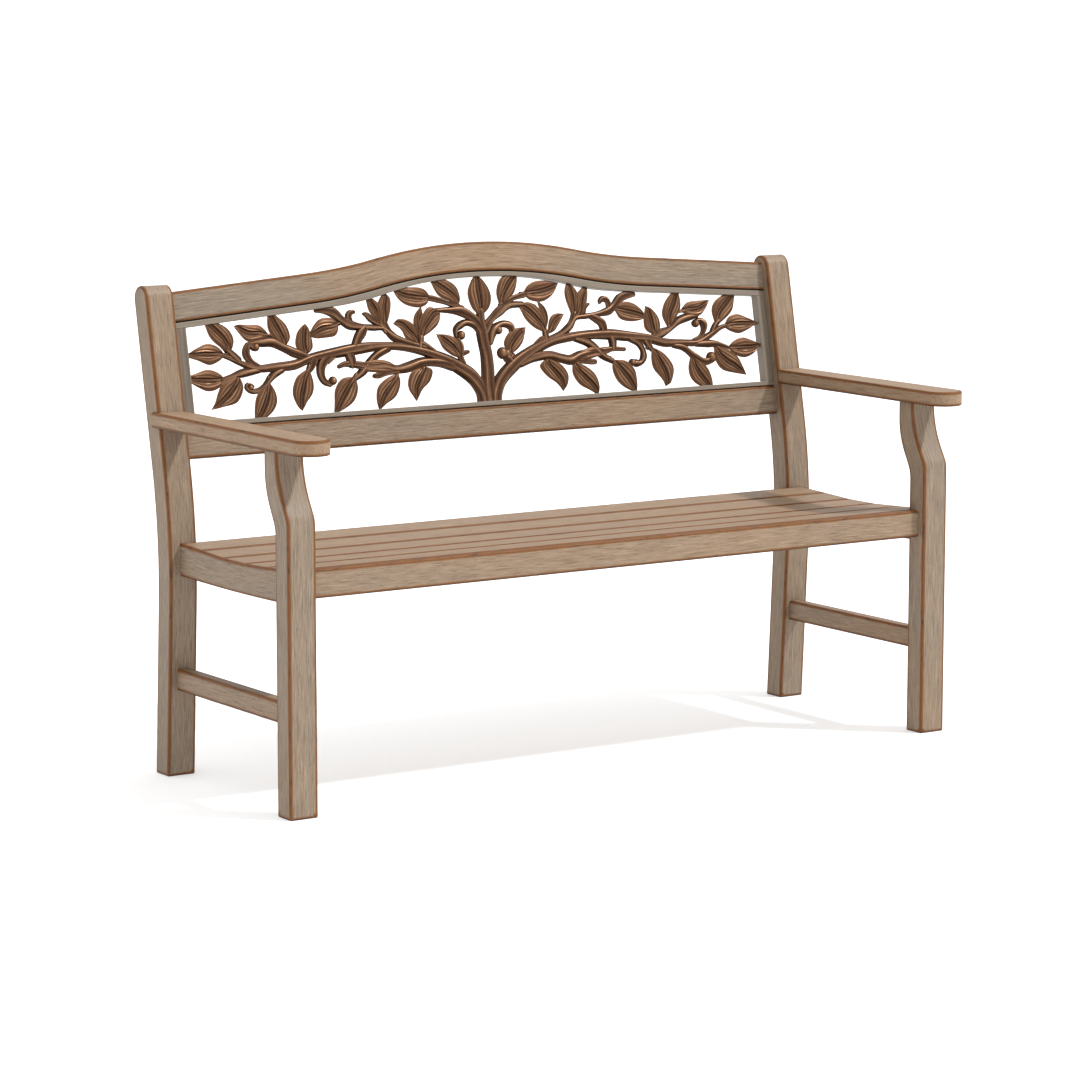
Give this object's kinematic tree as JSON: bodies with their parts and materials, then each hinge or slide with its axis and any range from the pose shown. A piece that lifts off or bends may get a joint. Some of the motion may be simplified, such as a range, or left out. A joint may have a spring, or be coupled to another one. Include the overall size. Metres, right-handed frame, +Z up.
{
  "type": "garden bench",
  "caption": "Slatted wooden garden bench with swan-necked front legs, flat arms, raked back posts, a humped crest rail and a flat cast tree across its open back.",
  "frame": {"origin": "middle of the bench's box, on the floor", "axes": "+X to the right of someone who faces the bench's front, -Y out of the front of the seat, +Z up"},
  "size_m": [1.53, 0.6448, 0.9857],
  "materials": {
    "weathered_wood": "weathered and washed grey brown, open grain, edges rubbed to orange brown",
    "grey_strip": "smooth matt grey",
    "bronze_casting": "antique bronze with rubbed highlights, satin",
    "screw_steel": "plain zinc plated",
    "dowel_wood": "plain unfinished beech"
  },
  "bodies": {
    "root": {"front_leg_left": "weathered_wood", "front_leg_right": "weathered_wood", "back_post_left": "weathered_wood", "back_post_right": "weathered_wood", "crest_rail": "weathered_wood", "lower_back_rail": "weathered_wood", "front_apron": "weathered_wood", "rear_seat_rail": "weathered_wood", "seat_bearer": "weathered_wood", "side_seat_rail_left": "weathered_wood", "side_seat_rail_right": "weathered_wood", "seat_slat_1": "weathered_wood", "seat_slat_2": "weathered_wood", "seat_slat_3": "weathered_wood", "seat_slat_4": "weathered_wood", "seat_slat_5": "weathered_wood", "side_stretcher_left": "weathered_wood", "side_stretcher_right": "weathered_wood", "armrest_left": "weathered_wood", "armrest_right": "weathered_wood", "panel_strip_top": "grey_strip", "panel_strip_bottom": "grey_strip", "panel_strip_left": "grey_strip", "panel_strip_right": "grey_strip", "tree_ornament": "bronze_casting", "slat_screws": "screw_steel", "tree_pins": "screw_steel", "arm_screws": "screw_steel", "panel_dowels": "dowel_wood", "arm_dowels": "dowel_wood", "arm_screw_plugs": "dowel_wood"}
  },
  "joints": []
}
